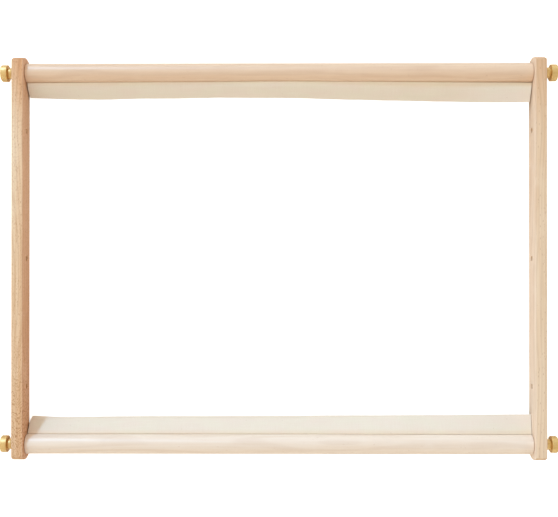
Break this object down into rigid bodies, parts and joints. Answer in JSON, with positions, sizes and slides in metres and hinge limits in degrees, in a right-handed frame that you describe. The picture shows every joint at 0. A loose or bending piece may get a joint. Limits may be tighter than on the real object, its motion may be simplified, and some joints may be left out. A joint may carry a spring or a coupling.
{
  "type": "rotating needlework frame",
  "caption": "Rectangular roller frame for embroidery: flat wooden side rails, turning rollers with cotton tapes to sew the cloth to, and brass clamping knobs.",
  "frame": {"origin": "on the resting plane under the middle of the frame, midway between the rails and between the rollers", "axes": "+X along the rollers to the right, +Y from the bottom roller to the top roller, +Z out of the front, away from the surface the frame lies on"},
  "size_m": [0.674, 0.486, 0.03],
  "materials": {
    "rail_beech": "sanded beech, bare",
    "roller_beech": "smooth sanded pale beech",
    "cotton_tape": "plain woven unbleached cotton",
    "knob_brass": "turned and polished",
    "washer_brass": "plain flat washer",
    "stud_steel": "zinc plated thread",
    "staple_steel": "galvanised wire"
  },
  "bodies": {
    "rails": {"left_rail": "rail_beech", "right_rail": "rail_beech"},
    "top_roller": {"top_roller": "roller_beech", "top_tape": "cotton_tape", "top_tape_fixed_edge": "cotton_tape", "top_staple_1": "staple_steel", "top_staple_2": "staple_steel", "top_staple_3": "staple_steel", "top_staple_4": "staple_steel", "top_staple_5": "staple_steel", "top_staple_6": "staple_steel", "top_staple_7": "staple_steel", "top_staple_8": "staple_steel", "stud_top_left": "stud_steel", "stud_top_right": "stud_steel"},
    "washer_top_left": {"washer_top_left": "washer_brass"},
    "knob_top_left": {"knob_top_left": "knob_brass"},
    "washer_top_right": {"washer_top_right": "washer_brass"},
    "knob_top_right": {"knob_top_right": "knob_brass"},
    "bottom_roller": {"bottom_roller": "roller_beech", "bottom_tape": "cotton_tape", "bottom_tape_fixed_edge": "cotton_tape", "bottom_staple_1": "staple_steel", "bottom_staple_2": "staple_steel", "bottom_staple_3": "staple_steel", "bottom_staple_4": "staple_steel", "bottom_staple_5": "staple_steel", "bottom_staple_6": "staple_steel", "bottom_staple_7": "staple_steel", "bottom_staple_8": "staple_steel", "stud_bottom_left": "stud_steel", "stud_bottom_right": "stud_steel"},
    "washer_bottom_left": {"washer_bottom_left": "washer_brass"},
    "knob_bottom_left": {"knob_bottom_left": "knob_brass"},
    "washer_bottom_right": {"washer_bottom_right": "washer_brass"},
    "knob_bottom_right": {"knob_bottom_right": "knob_brass"}
  },
  "joints": [
    {"name": "top_roller_turn", "type": "hinge", "parent": "rails", "child": "top_roller", "pos_m": [0, 0.225, 0.0122], "axis": [1, 0, 0], "continuous": true},
    {"name": "washer_slide_top_left", "type": "slide", "parent": "top_roller", "child": "washer_top_left", "axis": [-1, 0, 0], "range_m": [0, 0.009]},
    {"name": "knob_turn_top_left", "type": "hinge", "parent": "washer_top_left", "child": "knob_top_left", "pos_m": [-0.32925, 0.225, 0.0122], "axis": [-1, 0, 0], "range_deg": [0, 3240]},
    {"name": "washer_slide_top_right", "type": "slide", "parent": "top_roller", "child": "washer_top_right", "axis": [1, 0, 0], "range_m": [0, 0.009]},
    {"name": "knob_turn_top_right", "type": "hinge", "parent": "washer_top_right", "child": "knob_top_right", "pos_m": [0.32925, 0.225, 0.0122], "axis": [1, 0, 0], "range_deg": [0, 3240]},
    {"name": "bottom_roller_turn", "type": "hinge", "parent": "rails", "child": "bottom_roller", "pos_m": [0, -0.225, 0.0122], "axis": [1, 0, 0], "continuous": true},
    {"name": "washer_slide_bottom_left", "type": "slide", "parent": "bottom_roller", "child": "washer_bottom_left", "axis": [-1, 0, 0], "range_m": [0, 0.009]},
    {"name": "knob_turn_bottom_left", "type": "hinge", "parent": "washer_bottom_left", "child": "knob_bottom_left", "pos_m": [-0.32925, -0.225, 0.0122], "axis": [-1, 0, 0], "range_deg": [0, 3240]},
    {"name": "washer_slide_bottom_right", "type": "slide", "parent": "bottom_roller", "child": "washer_bottom_right", "axis": [1, 0, 0], "range_m": [0, 0.009]},
    {"name": "knob_turn_bottom_right", "type": "hinge", "parent": "washer_bottom_right", "child": "knob_bottom_right", "pos_m": [0.32925, -0.225, 0.0122], "axis": [1, 0, 0], "range_deg": [0, 3240]}
  ],
  "couplings": [
    {"joint": "washer_slide_top_left", "follows": "knob_turn_top_left", "m_per_rad": 0.00015915},
    {"joint": "washer_slide_top_right", "follows": "knob_turn_top_right", "m_per_rad": 0.00015915},
    {"joint": "washer_slide_bottom_left", "follows": "knob_turn_bottom_left", "m_per_rad": 0.00015915},
    {"joint": "washer_slide_bottom_right", "follows": "knob_turn_bottom_right", "m_per_rad": 0.00015915}
  ]
}
